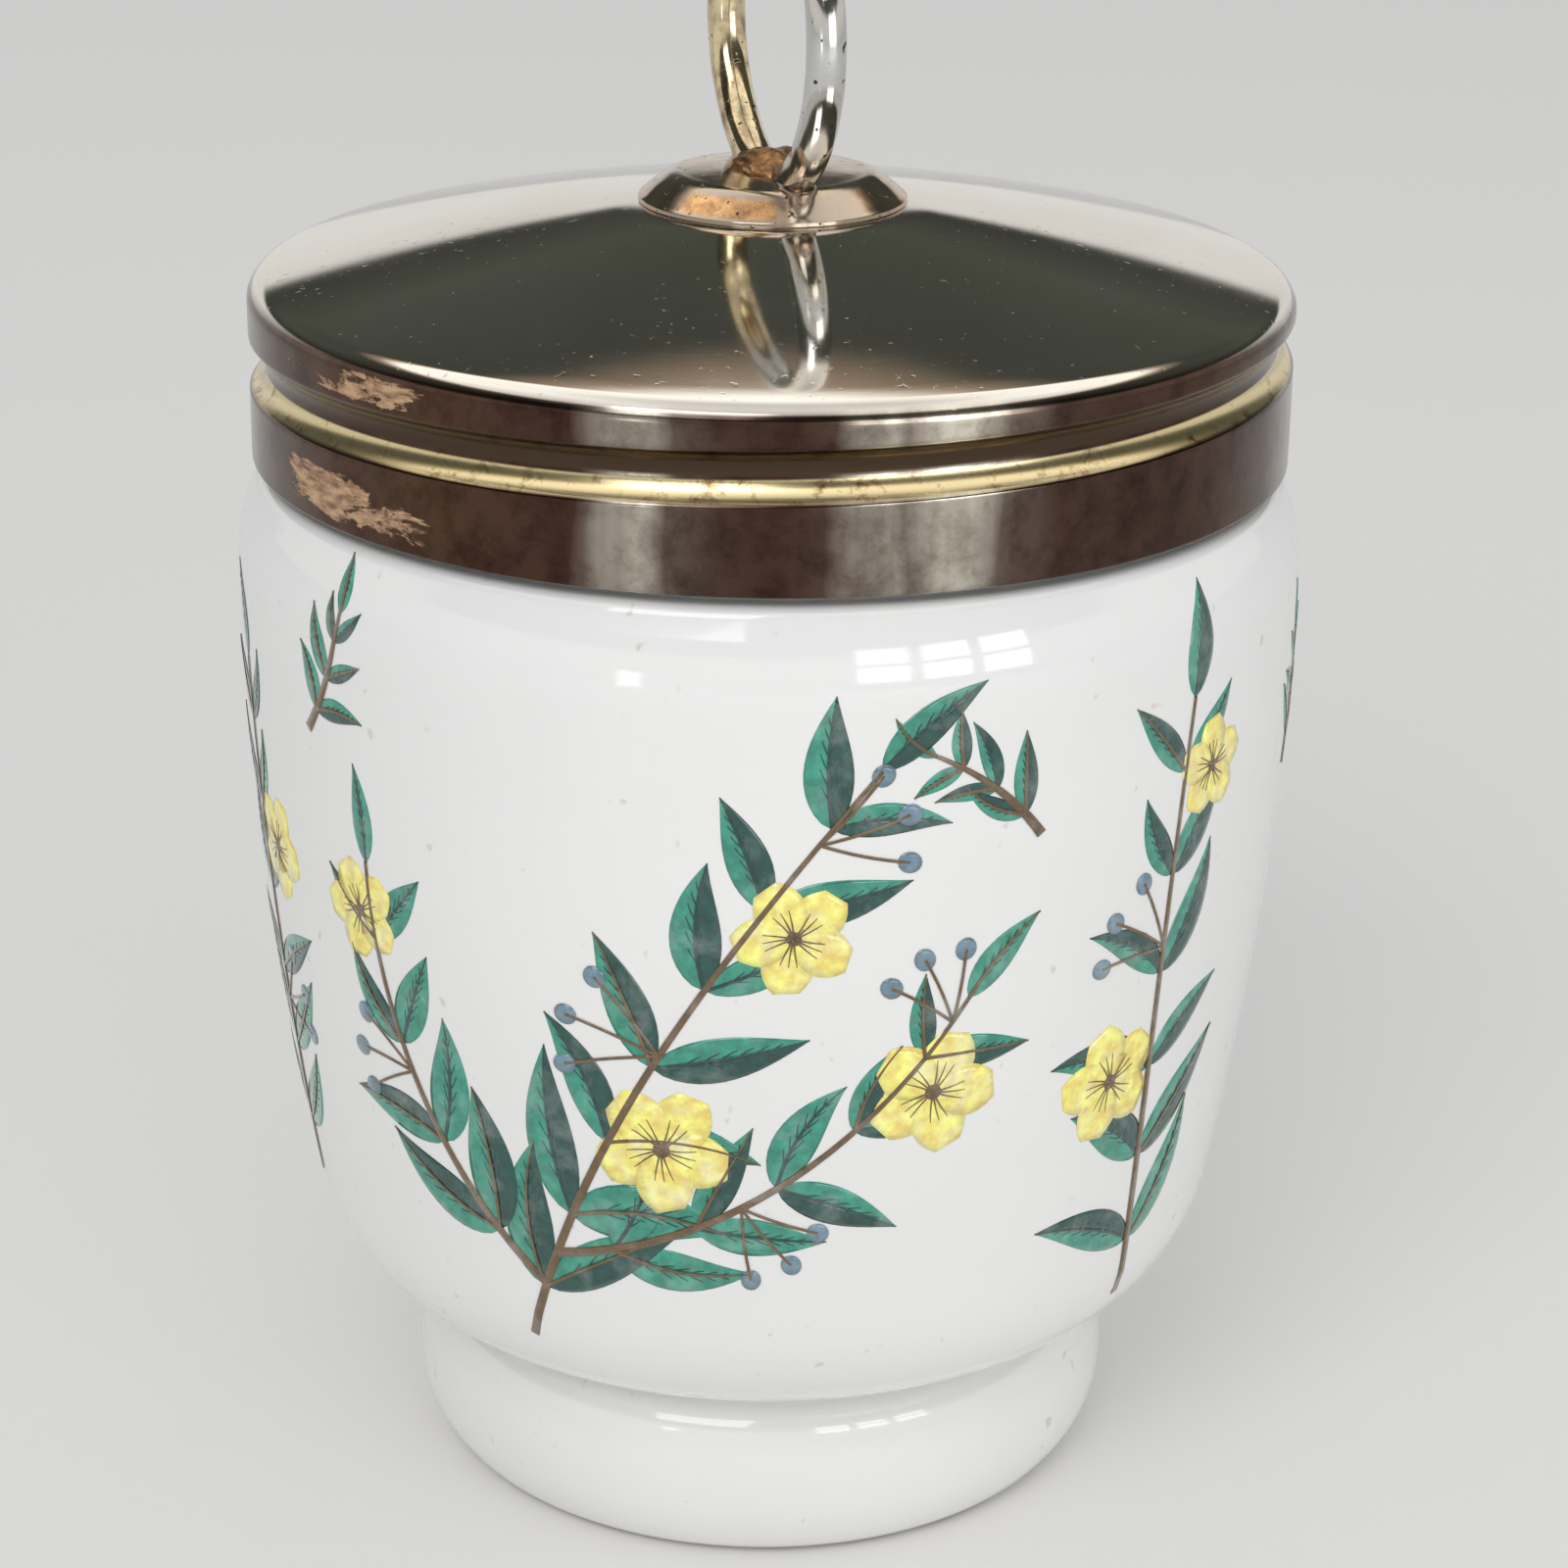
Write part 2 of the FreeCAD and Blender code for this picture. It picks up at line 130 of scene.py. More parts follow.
class CoddlerRing(bpy.types.PropertyGroup):
    """Sizes of the wire ring and the boss under it."""
    wire_radius: size("Wire radius", 0.00103, "Radius of the wire")
    ring_radius: size("Ring radius", 0.00797, "Radius of the ring to the middle of its wire")
    boss_foot: size("Boss foot", 0.00705, "Radius of the boss on the crown")
    boss_top: size("Boss top", 0.0057, "Radius of the boss at its upper edge")


class CoddlerPrint(bpy.types.PropertyGroup):
    """Colours of the printed sprays."""
    lift: size("Lift", 0.00004, "Thickness of the print over the glaze")
    seed: IntProperty(name="Seed", default=7, description="Changes how the leaves lie")
    leaf: colour("Leaf", (0.030, 0.215, 0.150), "Teal green of the leaves")
    leaf_dark: colour("Dark leaf", (0.010, 0.055, 0.045), "Shaded half of the leaves")
    vein: colour("Vein", (0.008, 0.040, 0.036), "Fine lines in the leaves")
    petal: colour("Petal", (0.80, 0.62, 0.16), "Yellow of the blossoms")
    stem: colour("Stem", (0.115, 0.070, 0.030), "Brown of the stems")
    berry: colour("Berry", (0.120, 0.190, 0.240), "Blue-grey of the berries")


class CoddlerStage(bpy.types.PropertyGroup):
    """Light, floor and camera."""
    floor: colour("Floor", (0.86, 0.85, 0.83), "Colour of the floor")
    lens: FloatProperty(name="Lens", default=90, description="Focal length in millimetres", min=1)
    key_power: FloatProperty(name="Key", default=2.7, description="Power of the key light", min=0)
    window_power: FloatProperty(name="Window", default=0.11, description="Power of each pane",
                                min=0)
    dome: FloatProperty(name="Dome", default=0.66, description="Strength of the dome", min=0)


def arc(start, end, bend):
    """Points from start to end on a circle. A positive bend keeps the centre on the left."""
    if bend is None:
        return [start]
    way = (end[0] - start[0], end[1] - start[1])
    length = math.hypot(*way)
    reach = math.sqrt(max(bend * bend - length * length / 4, 0))
    side = reach if bend > 0 else -reach
    centre = ((start[0] + end[0]) / 2 - way[1] / length * side,
              (start[1] + end[1]) / 2 + way[0] / length * side)
    first = math.atan2(start[1] - centre[1], start[0] - centre[0])
    sweep = 2 * math.asin(min(length / 2 / abs(bend), 1)) * (1 if bend > 0 else -1)
    count = max(2, math.ceil(abs(sweep) / ARC_STEP), math.ceil(length / ARC_PIECE))
    return [(centre[0] + abs(bend) * math.cos(first + sweep * i / count),
             centre[1] + abs(bend) * math.sin(first + sweep * i / count)) for i in range(count)]


def outline(corners):
    """Points round a profile whose corners are (radius, height, bend of the arc to the next)."""
    points = []
    for here, after in zip(corners, corners[1:]):
        points += arc(here[:2], after[:2], here[2])
    return points + [corners[-1][:2]]


def densify(points, step):
    """The same line with no two neighbours further apart than step."""
    dense = []
    for here, after in zip(points, points[1:]):
        count = max(1, math.ceil(math.dist(here, after) / step))
        dense += [(here[0] + (after[0] - here[0]) * i / count,
                   here[1] + (after[1] - here[1]) * i / count) for i in range(count)]
    return dense + [points[-1]]


def refine(points, needs_fine, fine):
    """Add rows to a profile: fine ones between two radii that need them, coarse elsewhere."""
    dense = []
    for here, after in zip(points, points[1:]):
        step = fine if needs_fine(here[0]) and needs_fine(after[0]) else COARSE_ROW
        dense += densify([here, after], step)[:-1]
    return dense + [points[-1]]


def settle(mesh, weld=None):
    """Weld points that fall together, and turn every face outwards."""
    shape = bmesh.new()
    shape.from_mesh(mesh)
    if weld:
        bmesh.ops.remove_doubles(shape, verts=shape.verts, dist=weld)
        bmesh.ops.dissolve_degenerate(shape, edges=shape.edges, dist=weld)
    bmesh.ops.recalc_face_normals(shape, faces=shape.faces)
    shape.to_mesh(mesh)
    shape.free()


def keep_wear_and_painted_light(mesh, marks):
    """Keep how worn each point is, and the painted light laid on it, for the material."""
    mesh.attributes.new("wear_and_painted_light", "FLOAT", "POINT").data.foreach_set("value", marks)


def new_object(name, mesh):
    """Link a mesh to the scene as a smooth-shaded object."""
    mesh.shade_smooth()
    mesh.set_sharp_from_angle(angle=SHARP_FROM)
    thing = bpy.data.objects.new(name, mesh)
    bpy.context.scene.collection.objects.link(thing)
    return thing


def turn(name, points, segments, shift=None, closed=False, mark=None):
    """Revolve a profile. shift says how far a point moves outwards, and mark gives its wear and
    painted light.
    """
    verts, faces, marks = [], [], []
    for i in range(segments):
        angle = 2 * math.pi * i / segments
        for radius, level in points:
            move = shift(radius, level, angle) if shift and radius > 0 else 0
            out = radius + move
            verts.append((out * math.cos(angle), out * math.sin(angle), level))
            if mark:
                marks.append(mark(level, angle, abs(move)))
    count = len(points)
    for i in range(segments):
        near, far = i * count, (i + 1) % segments * count
        for k in range(count if closed else count - 1):
            up = (k + 1) % count
            faces.append((near + k, far + k, far + up, near + up))
    mesh = bpy.data.meshes.new(name)
    mesh.from_pydata(verts, [], faces)
    if mark:
        keep_wear_and_painted_light(mesh, marks)
    settle(mesh, WELD)
    return new_object(name, mesh)


def wrap(angle):
    """An angle brought between minus and plus half a turn."""
    return (angle + math.pi) % (2 * math.pi) - math.pi


def fade(value, edge):
    """0 below 0, 1 above edge, smooth between."""
    t = min(max(value / edge, 0), 1)
    return t * t * (3 - 2 * t)


def soft_step(height, softness):
    """height where it is positive, 0 where it is negative, with a rounded corner."""
    return (height + math.sqrt(height * height + softness * softness)) / 2


def helix_level(lid, angle, turn_number=0):
    """Height of the middle of the groove at an angle round the lid."""
    return lid.groove_level + lid.pitch * (wrap(angle - FRONT) / (2 * math.pi) + turn_number)


def groove_depth(lid, level, angle):
    """How far the rolled thread pushes the wall inwards."""
    roll, offset = 1.4 * MM, 0.52 * MM
    end, run_out_over, sunk = math.radians(176), math.radians(16), 1.1 * MM
    reach, reach_over, softness = 2.6 * MM, 0.8 * MM, 0.16 * MM
    away = abs(level - helix_level(lid, angle))
    base = math.sqrt(roll * roll - away * away) - offset if away < roll else offset - away
    run_out = fade(end - abs(wrap(angle - FRONT)), run_out_over)
    depth = soft_step(base - (1 - run_out) * sunk, softness)
    return depth * fade(reach - away, reach_over)


def bead_height(cup, lid, level, angle):
    """How far the moulded thread bead stands out of the neck."""
    high, turns = 64.9 * MM, 1.2
    run_out_from, run_out_over = 0.06 * MM, 0.12 * MM
    sunk, softness = 0.1 * MM, 0.1 * MM
    best = 0
    for number in (-1, 0, 1, 2):
        middle = helix_level(lid, angle, number) - lid.pitch / 2
        inside = min(high - middle, middle - (high - lid.pitch * turns))
        run_out = fade(inside + run_out_from, run_out_over)
        away = abs(level - middle)
        if away < cup.bead_radius and run_out > 0:
            stand = math.sqrt(cup.bead_radius ** 2 - away * away) - sunk
            best = max(best, soft_step(stand, softness) * run_out)
    return best


def tree_of(name):
    """A new node material, its tree and its shader."""
    material = bpy.data.materials.new(name)
    material.use_nodes = True
    tree = material.node_tree
    return material, tree, tree.nodes["Principled BSDF"]


def feed(tree, node, inputs):
    """Fill or link a node's inputs, named by name or number."""
    for key, value in dict(inputs).items():
        if isinstance(value, bpy.types.NodeSocket):
            tree.links.new(value, node.inputs[key])
        else:
            node.inputs[key].default_value = value


def add(tree, kind, inputs=(), **settings):
    """Add a node, set its properties and feed its inputs."""
    made = tree.nodes.new(kind)
    for key, value in settings.items():
        setattr(made, key, value)
    feed(tree, made, inputs)
    return made


def place(tree, stretch=(1, 1, 1), turned=0.0):
    """Object coordinates, stretched, and turned about the upright axis."""
    where = add(tree, "ShaderNodeTexCoord").outputs["Object"]
    return add(tree, "ShaderNodeMapping", {"Vector": where, "Rotation": (0, 0, turned),
                                           "Scale": stretch}).outputs[0]


def cloud(tree, where, scale, detail=3, rough=0.5, distort=0):
    """A noise value."""
    return add(tree, "ShaderNodeTexNoise", {"Vector": where, "Scale": scale, "Detail": detail,
                                            "Roughness": rough, "Distortion": distort}).outputs[0]


def grey(tone):
    """A colour without a tint."""
    return (tone, tone, tone)


def stops(tree, value, marks):
    """Map value through (place, grey or colour) stops."""
    made = add(tree, "ShaderNodeValToRGB", {"Fac": value})
    steps = made.color_ramp.elements
    while len(steps) < len(marks):
        steps.new(0.5)
    for step, (where, _) in zip(steps, marks):
        step.position = where
    for step, (_, tone) in zip(steps, marks):
        step.color = (*(grey(tone) if isinstance(tone, float) else tone), 1)
    return made.outputs["Color"]


def ramp(tree, value, low, high, start=0.0, end=1.0):
    """Map value from low to high on to two tones."""
    return stops(tree, value, ((low, start), (high, end)))


def blend(tree, factor, under, over, how="MIX"):
    """Mix two colours."""
    made = add(tree, "ShaderNodeMix", {0: factor}, data_type="RGBA", blend_type=how)
    for number, tone in ((6, under), (7, over)):
        linked = isinstance(tone, bpy.types.NodeSocket)
        feed(tree, made, {number: tone if linked else (*tone, 1)})
    return made.outputs[2]


def maths(tree, how, one, two=0.0):
    """One sum on values."""
    return add(tree, "ShaderNodeMath", {0: one, 1: two}, operation=how).outputs[0]


def weighted(tree, *parts):
    """The sum of values, each times its weight."""
    total = None
    for value, weight in parts:
        part = maths(tree, "MULTIPLY", value, weight)
        total = part if total is None else maths(tree, "ADD", total, part)
    return total


def bump(tree, shader, height, distance, strength=1.0):
    """Raise the surface by a height value."""
    made = add(tree, "ShaderNodeBump", {"Height": height, "Distance": distance,
                                        "Strength": strength})
    feed(tree, shader, {"Normal": made.outputs[0]})


def wear_and_painted_light_of(tree):
    """The wear and painted light kept in the mesh."""
    return add(tree, "ShaderNodeAttribute", attribute_name="wear_and_painted_light").outputs["Fac"]


def glazed_porcelain(cup):
    """White porcelain under a clear wet-looking glaze with a faint ripple and a few specks."""
    material, tree, shader = tree_of("glazed_porcelain")
    where = place(tree)
    shade = [c * 0.965 for c in cup.glaze]
    tone = ramp(tree, cloud(tree, where, 45), 0.35, 0.7, shade, cup.glaze)
    specks = ramp(tree, cloud(tree, where, 900, 1), 0.74, 0.80)
    rough = ramp(tree, cloud(tree, where, 160), 0.3, 0.8, 0.045, 0.11)
    feed(tree, shader, {"Base Color": blend(tree, specks, tone, (0.66, 0.62, 0.56)),
                        "Roughness": rough, **GLAZE_COAT})
    peel = maths(tree, "MULTIPLY", cloud(tree, where, 420, 1), 0.05)
    bump(tree, shader, maths(tree, "ADD", cloud(tree, where, 55, 2), peel), 0.00012)
    return material


def bare_foot():
    """Unglazed tread of the foot ring, slightly stained."""
    material, tree, shader = tree_of("bare_tread")
    where = place(tree)
    tone = ramp(tree, cloud(tree, where, 260), 0.3, 0.7, (0.52, 0.47, 0.41), (0.72, 0.69, 0.64))
    feed(tree, shader, {"Base Color": tone, "Roughness": 0.75})
    bump(tree, shader, cloud(tree, where, 3000), 0.00003)
    return material


def round_share(tree):
    """Share of the way round, one half at the front, with a slight waver."""
    share = add(tree, "ShaderNodeTexGradient", {"Vector": place(tree, turned=-FRONT)},
                gradient_type="RADIAL").outputs["Fac"]
    reach = 0.014
    waver = maths(tree, "MULTIPLY", cloud(tree, place(tree), 140, 3), reach)
    return maths(tree, "SUBTRACT", maths(tree, "ADD", share, waver), reach / 2)


def tarnished_skirt(tree, where, share, lid):
    """Brown tarnish, rubbed pale in upright streaks, with warm clouds and fine mottling."""
    streak = stops(tree, share, [(0.5 + degrees / 360, tone) for degrees, tone in STREAKS])
    fibre = ramp(tree, cloud(tree, place(tree, (1, 1, 0.04)), 420, 3, 0.6), 0.25, 0.75,
                 0.55, 1.25)
    blotch = ramp(tree, cloud(tree, where, 85, 4, 0.6), 0.30, 0.70, 0.45, 1.2)
    pale = maths(tree, "MULTIPLY", maths(tree, "MULTIPLY", streak, fibre), blotch)
    metal = blend(tree, pale, lid.tarnish, (0.92, 0.88, 0.74))
    warm = ramp(tree, cloud(tree, where, 60, 3), 0.45, 0.70)
    metal = blend(tree, maths(tree, "MULTIPLY", warm, 0.22), metal, (0.20, 0.105, 0.045))
    mottle = ramp(tree, cloud(tree, where, 520, 5, 0.7), 0.42, 0.72, 1.0, (0.45, 0.42, 0.40))
    return blend(tree, 1.0, metal, mottle, "MULTIPLY")


def rubbed_patches(tree, share, rise, skirt):
    """How far the plating is rubbed off, in ragged patches at the left of both bands."""
    rub = maths(tree, "MULTIPLY", stops(tree, share, RUB_ROUND), stops(tree, rise, RUB_BANDS))
    ragged = cloud(tree, place(tree, (0.8, 0.8, 3.2)), 170, 8, 0.72, 0.5)
    rub = ramp(tree, maths(tree, "ADD", maths(tree, "MULTIPLY", rub, 0.385), ragged), 0.80, 0.835)
    return maths(tree, "MULTIPLY", rub, skirt)


def worn_plating(lid):
    """Plated lid: clean crown, tarnished skirt with rubbed patches, brass on the groove's lip,
    painted shade in the groove's upper half.
    """
    material, tree, shader = tree_of("worn_plating")
    where = place(tree)
    level = add(tree, "ShaderNodeSeparateXYZ", {0: where}).outputs["Z"]
    rise = maths(tree, "MULTIPLY", level, RAMP_REACH)
    crown = ramp(tree, rise, *CROWN_EDGE)
    skirt = maths(tree, "SUBTRACT", 1.0, crown)
    share = round_share(tree)
    clean = blend(tree, ramp(tree, cloud(tree, where, 70, 4, 0.6), 0.35, 0.75), lid.plating,
                  (0.64, 0.60, 0.53))
    metal = blend(tree, crown, tarnished_skirt(tree, where, share, lid), clean)
    wear_and_painted_light = wear_and_painted_light_of(tree)
    lip = ramp(tree, wear_and_painted_light, 0.06, 0.30)
    speckle = ramp(tree, cloud(tree, where, 800, 4, 0.7), 0.54, 0.70, lid.brass,
                   (0.26, 0.15, 0.06))
    metal = blend(tree, lip, metal, speckle)
    # Painted shade: where the attribute is negative, the groove's upper half is darkened to a dark
    # brown.
    painted_groove_shade = ramp(tree, maths(tree, "MULTIPLY", wear_and_painted_light, -1.0), 0.08, 0.6)
    metal = blend(tree, painted_groove_shade, metal, (0.075, 0.050, 0.033))
    rub = rubbed_patches(tree, share, rise, skirt)
    brushed = ramp(tree, cloud(tree, place(tree, (1, 1, 4)), 700, 5, 0.7), 0.40, 0.66,
                   (0.70, 0.47, 0.29), (0.24, 0.13, 0.08))
    metal = blend(tree, rub, metal, brushed)
    grains = ramp(tree, cloud(tree, where, 2600, 1), 0.72, 0.80, 0.0, 0.45)
    dust = maths(tree, "MULTIPLY", grains, crown)
    metal = blend(tree, dust, metal, (0.45, 0.42, 0.37))
    haze = cloud(tree, where, 130, 4, 0.6)
    matt = weighted(tree, (haze, 0.10), (rub, 0.30), (lip, 0.06), (dust, 0.55), (skirt, 0.10))
    feed(tree, shader, {"Base Color": metal, "Metallic": 1.0,
                        "Roughness": maths(tree, "ADD", matt, 0.02)})
    lines = cloud(tree, place(tree, (0.3, 0.3, 5)), 900, 2, 0.6, 1.4)
    pits = ramp(tree, cloud(tree, where, 1700, 2), 0.68, 0.74, 1.0, 0.0)
    bump(tree, shader, weighted(tree, (lines, 0.20), (pits, 0.5), (rub, 2.0)), 0.000010, 0.5)
    return material


def fitting_metal(name, base, golden, brass):
    """Plating of a fitting: pitted, golden where its stains say so and where its
    wear_and_painted_light attribute does: the ring's worn limb, and on the boss a painted
    reflection.
    """
    material, tree, shader = tree_of(name)
    where = place(tree)
    stain = ramp(tree, cloud(tree, where, 260, 5, 0.65), 0.48, 0.66)
    # On the boss the attribute holds a painted reflection, an orange-gold band on the side towards
    # the front. On the ring it holds the worn limb.
    worn = maths(tree, "MAXIMUM", ramp(tree, wear_and_painted_light_of(tree), 0.1, 0.9),
                 maths(tree, "MULTIPLY", stain, golden))
    gold = ramp(tree, cloud(tree, where, 600, 4, 0.7), 0.42, 0.70, brass, (0.22, 0.11, 0.05))
    pits = ramp(tree, cloud(tree, where, 2100, 2), 0.67, 0.72)
    metal = blend(tree, pits, blend(tree, worn, base, gold), (0.06, 0.045, 0.035))
    rough = ramp(tree, cloud(tree, where, 500, 4, 0.6), 0.3, 0.8, 0.07, 0.24)
    feed(tree, shader, {"Base Color": metal, "Metallic": 1.0, "Roughness": rough})
    grain = maths(tree, "MULTIPLY", cloud(tree, where, 900, 3), 0.4)
    bump(tree, shader, maths(tree, "SUBTRACT", grain, pits), 0.00002, 0.6)
    return material


def dull_metal(name, low, high, roughness):
    """Rough metal in two tones, for the braze and the rove."""
    material, tree, shader = tree_of(name)
    where = place(tree)
    tone = ramp(tree, cloud(tree, where, 900, 5, 0.7), 0.35, 0.68, low, high)
    feed(tree, shader, {"Base Color": tone, "Metallic": 1.0, "Roughness": roughness})
    bump(tree, shader, cloud(tree, where, 1300, 4), 0.00008)
    return material


def print_ink(name, ink, glaze, wash):
    """Glossy ink that thins to the white body in soft washes."""
    material, tree, shader = tree_of(name)
    where = place(tree)
    thin = ramp(tree, cloud(tree, where, 480, 4, 0.6, 0.4), 0.48, 0.78)
    paler = [min(c * 1.6, 1) for c in ink]
    mottled = ramp(tree, cloud(tree, where, 1500, 3), 0.35, 0.7, ink, paler)
    tone = blend(tree, maths(tree, "MULTIPLY", thin, wash), mottled, glaze)
    feed(tree, shader, {"Base Color": tone, "Roughness": 0.08, **GLAZE_COAT})
    return material


def cup_outline(cup):
    """Profile of the cup, from the middle of the recess out, up, over the rim and down inside."""
    slope = math.asin((cup.body_level - cup.turn_level) / cup.belly_bend)
    start = cup.body_radius - cup.belly_bend * (1 - math.cos(slope))
    middle = (start - cup.turn_radius * math.cos(slope),
              cup.turn_level + cup.turn_radius * math.sin(slope))
    inner = cup.turn_radius - cup.wall
    dish = math.radians(8)
    dish_radius = middle[0] + inner * math.sin(dish)
    dish_bend = dish_radius / math.sin(dish)
    dish_level = middle[1] - inner * math.cos(dish)
    floor = dish_level - dish_bend * (1 - math.cos(dish))
    recess = floor - 5 * MM
    hole, hole_curve, hole_edge = 15.2 * MM, 2 * MM, 0.8 * MM
    waist, crease = 17.9 * MM, 0.6 * MM
    waist_level = middle[1] - math.sqrt(cup.turn_radius ** 2 - (waist - middle[0]) ** 2)
    shoulder, top, shoulder_edge = 10 * MM, 56.5 * MM, 0.8 * MM
    edge = cup.body_radius - shoulder + math.sqrt(shoulder ** 2 - (top - cup.body_level) ** 2)
    ledge_curve, rim_outside, rim_inside = 0.6 * MM, 1 * MM, 2.2 * MM
    mouth = cup.neck_radius - cup.wall
    return outline((
        (0, recess, None),
        (hole - hole_curve, recess, -hole_curve),
        (hole, recess - hole_curve, None),
        (hole, hole_edge, hole_edge),
        (hole + hole_edge, 0, None),
        (16.9 * MM, 0, 2.2 * MM),
        (18.5 * MM, 0.9 * MM, 5.5 * MM),
        (19.6 * MM, 3.4 * MM, 7.5 * MM),
        (19.2 * MM, 7.2 * MM, 2.2 * MM),
        (waist, waist_level - crease, -0.4 * MM),
        (waist, waist_level, cup.turn_radius),
        (start, cup.turn_level, cup.belly_bend),
        (cup.body_radius, cup.body_level, shoulder),
        (edge, top, shoulder_edge),
        (edge - shoulder_edge, cup.ledge_level, None),
        (cup.neck_radius + ledge_curve, cup.ledge_level, -ledge_curve),
        (cup.neck_radius, cup.ledge_level + ledge_curve, None),
        (cup.neck_radius, cup.rim_level - rim_outside, rim_outside),
        (cup.neck_radius - rim_outside, cup.rim_level, rim_inside),
        (mouth, cup.rim_level - rim_inside, None),
        (mouth, cup.ledge_level, -shoulder),
        (cup.body_radius - cup.wall, cup.body_level - 4 * MM, -(cup.belly_bend - cup.wall)),
        (middle[0] + inner * math.cos(slope), middle[1] - inner * math.sin(slope), -inner),
        (dish_radius, dish_level, -dish_bend),
        (0, floor, None),
    ))


class CODDLER_OT_cup(bpy.types.Operator):
    """Glazed cup with its bare tread and the thread bead on its neck"""
    bl_idname = "coddler.cup"
    bl_label = "Cup"

    def execute(self, context):
        cup, lid = context.scene.coddler_cup, context.scene.coddler_lid
        tread_level, ledge_clear = 0.25 * MM, 0.5 * MM

        def off_neck(radius):
            return abs(radius - cup.neck_radius)

        def stand(radius, level, angle):
            if off_neck(radius) > 0.01 * MM or level < cup.ledge_level + ledge_clear:
                return 0
            return bead_height(cup, lid, level, angle)

        points = refine(cup_outline(cup), lambda radius: off_neck(radius) < 0.001 * MM, NECK_ROW)
        body = turn("cup_glazed", points, CUP_ROUND, stand)
        body.data.materials.append(glazed_porcelain(cup))
        body.data.materials.append(bare_foot())
        for face in body.data.polygons:
            face.material_index = int(face.center.z < tread_level)
        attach(body, "cup_body")
        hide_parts("cup")
        return {"FINISHED"}


def on_cup(profile, across, level, lift):
    """The place across metres round from the front, at level, and lift above the glaze."""
    outside = [point for point in profile if point[1] > PRINT_FOOT]
    for low, high in zip(outside, outside[1:]):
        if low[1] <= level <= high[1] and low[0] > RECESS_SIDE:
            t = (level - low[1]) / max(high[1] - low[1], 1e-9)
            radius = low[0] + (high[0] - low[0]) * t
            way = Vector((high[0] - low[0], high[1] - low[1])).normalized()
            angle = FRONT + across / (PRINT_ROUND * MM)
            outwards = radius + lift * way.y
            return Vector((outwards * math.cos(angle), outwards * math.sin(angle),
                           level - lift * way.x))
    raise RuntimeError(f"no place on the cup at height {level}")


def stroke(path, width, rows=14, columns=4):
    """A flat brush mark: a grid along a path, as wide as width gives at each share of the way."""
    verts, faces = [], []
    for i in range(rows + 1):
        t = i / rows
        here, ahead = path(t), path(min(t + AHEAD, 1 + AHEAD))
        along = (ahead - here).normalized()
        side = Vector((-along.y, along.x))
        for k in range(columns + 1):
            verts.append(here + side * width(t) * (k / columns - 0.5))
    for i in range(rows):
        for k in range(columns):
            a = i * (columns + 1) + k
            faces.append((a + 1, a, a + columns + 1, a + columns + 2))
    return verts, faces


def thinning(first, loss):
    """A line's width along its way: first millimetres at its start, loss less at its end."""
    return lambda t: (first - loss * t) * MM


def bent_path(start, heading, length, bend):
    """A path that leaves start at heading and turns by bend over its length."""
    def path(t):
        angle = heading + bend * t / 2
        return start + Vector((math.cos(angle), math.sin(angle))) * length * t
    return path


def leaf_swell(t):
    """Share of a leaf's full width at share t of its length."""
    return math.sin(math.pi * t ** 0.75)


def leaf_shape(start, heading, length, wide, bend):
    """Both halves of a leaf, and its vein."""
    path = bent_path(start, heading, length, bend)
    overlap = 0.02 * MM

    def half(side):
        def middle(t):
            base = path(t)
            ahead = (path(t + AHEAD) - base).normalized()
            return base + Vector((-ahead.y, ahead.x)) * side * wide / 4 * leaf_swell(t)
        return stroke(middle, lambda t: wide / 2 * leaf_swell(t) + overlap)
    return half(1), half(-1), stroke(path, thinning(0.22, 0.15))


def disc(centre, radius, squash=1.0, tilt=0.0):
    """A round spot."""
    count = 16
    verts, faces = [centre.copy()], []
    for ring in (0.5, 1.0):
        for k in range(count):
            angle = 2 * math.pi * k / count
            spot = Vector((math.cos(angle), math.sin(angle) * squash)) * radius * ring
            spot.rotate(Matrix.Rotation(tilt, 2))
            verts.append(centre + spot)
    for k in range(count):
        after = (k + 1) % count
        faces.append((0, 1 + k, 1 + after))
        faces.append((1 + k, 1 + count + k, 1 + count + after, 1 + after))
    return verts, faces


